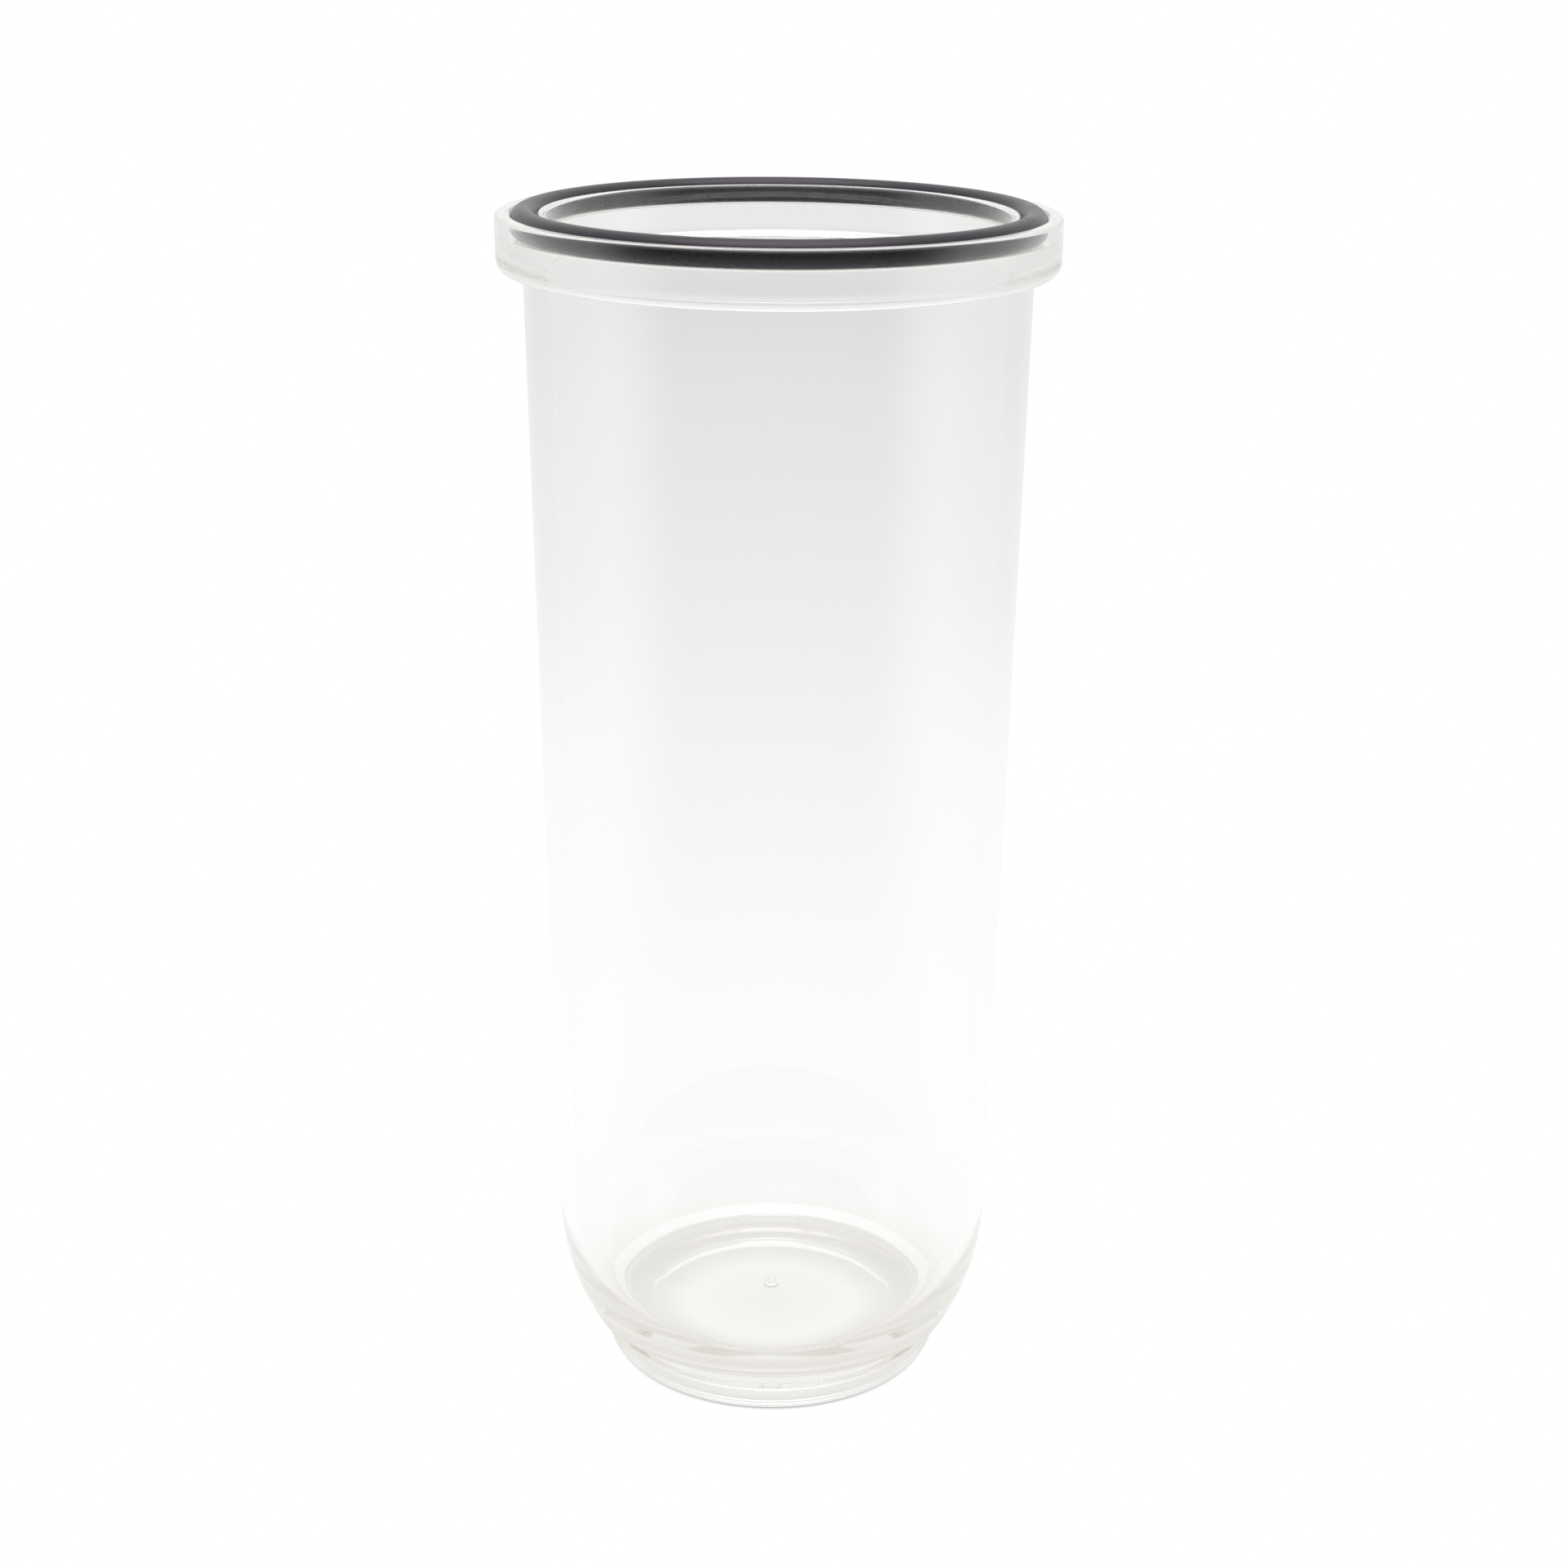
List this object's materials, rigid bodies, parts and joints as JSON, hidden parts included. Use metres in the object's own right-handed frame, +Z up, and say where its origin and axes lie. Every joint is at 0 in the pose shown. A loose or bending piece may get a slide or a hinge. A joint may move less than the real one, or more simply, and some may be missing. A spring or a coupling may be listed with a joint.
{
  "type": "bear canister",
  "caption": "Clear moulded canister, open at the top, with a domed base on a short foot and a rubber seal ring seated in its rim flange.",
  "frame": {"origin": "centre of the foot's underside", "axes": "+Z up the axis to the open mouth; the part is round, so +X and +Y are free"},
  "size_m": [0.11, 0.11, 0.2472],
  "materials": {
    "clear_plastic": "clear, polished",
    "seal_rubber": "matt moulded rubber"
  },
  "bodies": {
    "canister": {"canister_body": "clear_plastic"},
    "seal": {"rim_seal_ring": "seal_rubber"}
  },
  "joints": [
    {"name": "seal_lift", "type": "slide", "parent": "canister", "child": "seal", "axis": [0, 0, 1], "range_m": [0, 0.03]}
  ]
}
